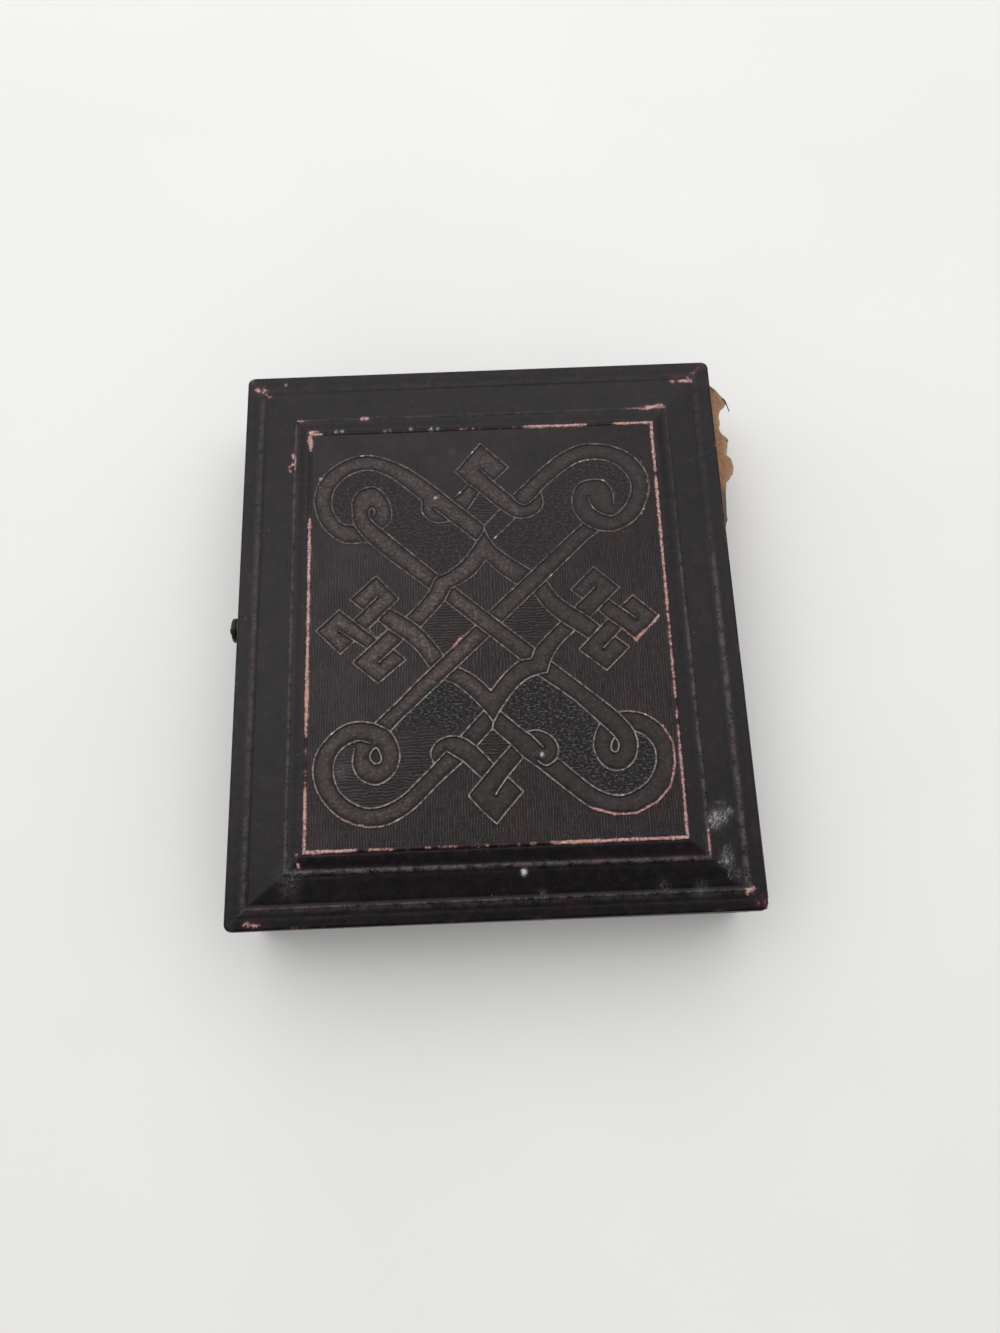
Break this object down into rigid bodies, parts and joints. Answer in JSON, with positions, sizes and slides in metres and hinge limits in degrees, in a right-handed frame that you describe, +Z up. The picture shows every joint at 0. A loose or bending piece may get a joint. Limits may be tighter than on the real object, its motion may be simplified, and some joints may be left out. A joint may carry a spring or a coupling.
{
  "type": "daguerreotype case",
  "caption": "Hinged case for a small photographic plate: embossed leather over wood, torn leather spine, hook clasp, velvet pad and a glazed plate packet inside.",
  "frame": {"origin": "centre of the raised panel that the closed case rests on", "axes": "+Z up through the closed case, +Y along the spine towards the head of the case, +X from the hook side to the spine side"},
  "size_m": [0.0821, 0.0922, 0.019],
  "materials": {
    "pine_wood": "thin planed softwood, glued",
    "embossed_leather": "dark brown-black sheepskin with a maroon tinge, embossed, rubbed pink on raised edges",
    "plain_leather": "dark plain leather, slightly glossy, worn at edges",
    "spine_leather": "dark leather, torn to brown suede at its upper part",
    "hinge_leather": "thin dark red leather",
    "velvet": "dark crimson silk velvet, pressed pattern",
    "lining_paper": "aged laid paper",
    "silvered_plate": "silvered copper, polished and bare, tarnished at the mat's edge",
    "gilt_brass": "stamped matt brass, lacquered",
    "brass_foil": "thin embossed brass foil",
    "glass": "clear old window glass",
    "paper_tape": "aged gummed paper tape",
    "card": "pasteboard",
    "dark_brass": "blackened brass, worn bright at edges"
  },
  "bodies": {
    "tray": {"tray_board": "pine_wood", "tray_rail_hook_side": "pine_wood", "tray_rail_spine_side": "pine_wood", "tray_rail_head": "pine_wood", "tray_rail_foot": "pine_wood", "tray_cover_leather": "embossed_leather", "tray_side_leather": "plain_leather", "velvet_strip": "velvet", "tray_lining_paper": "lining_paper", "image_plate": "silvered_plate", "brass_mat": "gilt_brass", "cover_glass": "glass", "sealing_tape": "paper_tape", "preserver_frame": "brass_foil", "stud_washer": "dark_brass", "catch_stud": "dark_brass", "spine_leather": "spine_leather", "inner_hinge": "hinge_leather"},
    "lid": {"lid_board": "pine_wood", "lid_rail_hook_side": "pine_wood", "lid_rail_spine_side": "pine_wood", "lid_rail_head": "pine_wood", "lid_rail_foot": "pine_wood", "lid_cover_leather": "embossed_leather", "lid_side_leather": "plain_leather", "pad_card": "card", "velvet_pad": "velvet", "hook_washer": "dark_brass", "hook_rivet": "dark_brass"},
    "hook": {"hook": "dark_brass"}
  },
  "joints": [
    {"name": "lid_hinge", "type": "hinge", "parent": "tray", "child": "lid", "pos_m": [0.04025, 0, 0.0095], "axis": [0, 1, 0], "range_deg": [0, 179], "deforming": ["spine_leather", "inner_hinge"]},
    {"name": "hook_pivot", "type": "hinge", "parent": "lid", "child": "hook", "pos_m": [-0.04053, 0.0015, 0.0133], "axis": [1, 0, 0], "range_deg": [-24, 76]}
  ]
}
